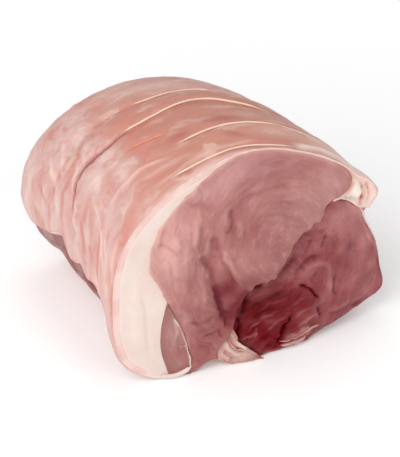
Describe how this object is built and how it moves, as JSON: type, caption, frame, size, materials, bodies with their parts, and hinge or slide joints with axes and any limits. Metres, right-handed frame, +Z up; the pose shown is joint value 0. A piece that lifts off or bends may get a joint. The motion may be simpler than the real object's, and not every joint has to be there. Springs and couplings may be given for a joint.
{
  "type": "boneless mutton block",
  "caption": "Boneless rolled leg joint of raw meat: a barrel under scored rind and white fat, with a cut face that shows lean muscles and a wedge of fat.",
  "frame": {"origin": "centre of the bottom of the bounding box, on the board that the joint rests on", "axes": "+Z up; +Y from the cut face to the far end; +X to the right for someone who looks at the cut face"},
  "size_m": [0.1658, 0.1466, 0.1259],
  "materials": {
    "fat_cap": "raw scored rind over white fat, satin",
    "lean_main": "raw lean meat, moist",
    "lean_small": "raw lean meat, moist",
    "lean_side": "raw dark lean meat, moist",
    "seam_fat": "raw seam fat, satin"
  },
  "bodies": {
    "root": {"fat_cap": "fat_cap", "lean_main": "lean_main", "lean_small": "lean_small", "lean_side": "lean_side", "seam_fat": "seam_fat"}
  },
  "joints": []
}
